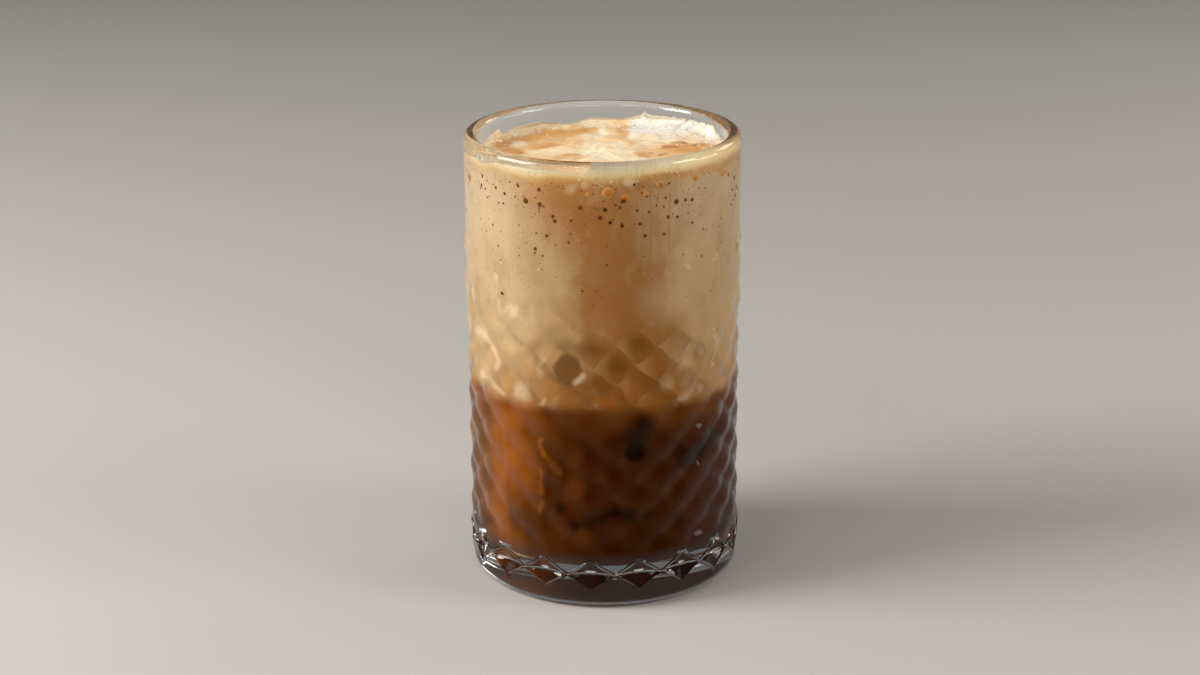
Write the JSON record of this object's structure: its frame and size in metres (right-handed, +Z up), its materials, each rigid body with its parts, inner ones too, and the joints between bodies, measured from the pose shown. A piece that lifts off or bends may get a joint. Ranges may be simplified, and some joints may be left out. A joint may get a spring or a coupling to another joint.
{
  "type": "frappe in a glass",
  "caption": "Iced frappe with dark coffee, milk foam and a froth cap, in a clear moulded tumbler with a pillow lattice and a diamond band.",
  "frame": {"origin": "middle of the foot, on the surface that the tumbler stands on", "axes": "+Z up along the tumbler's axis; -Y towards the viewer of the picture; +X to the viewer's right"},
  "size_m": [0.0792, 0.079, 0.13],
  "materials": {
    "clear_glass": "clear, smooth, fire-polished",
    "dark_coffee": "stands in for dark iced coffee",
    "coffee_foam": "stands in for fine coffee-coloured milk foam",
    "pale_froth": "stands in for pale froth, marbled white and tan"
  },
  "bodies": {
    "root": {"glass": "clear_glass", "coffee": "dark_coffee", "milk_foam": "coffee_foam", "froth_cap": "pale_froth"}
  },
  "joints": []
}
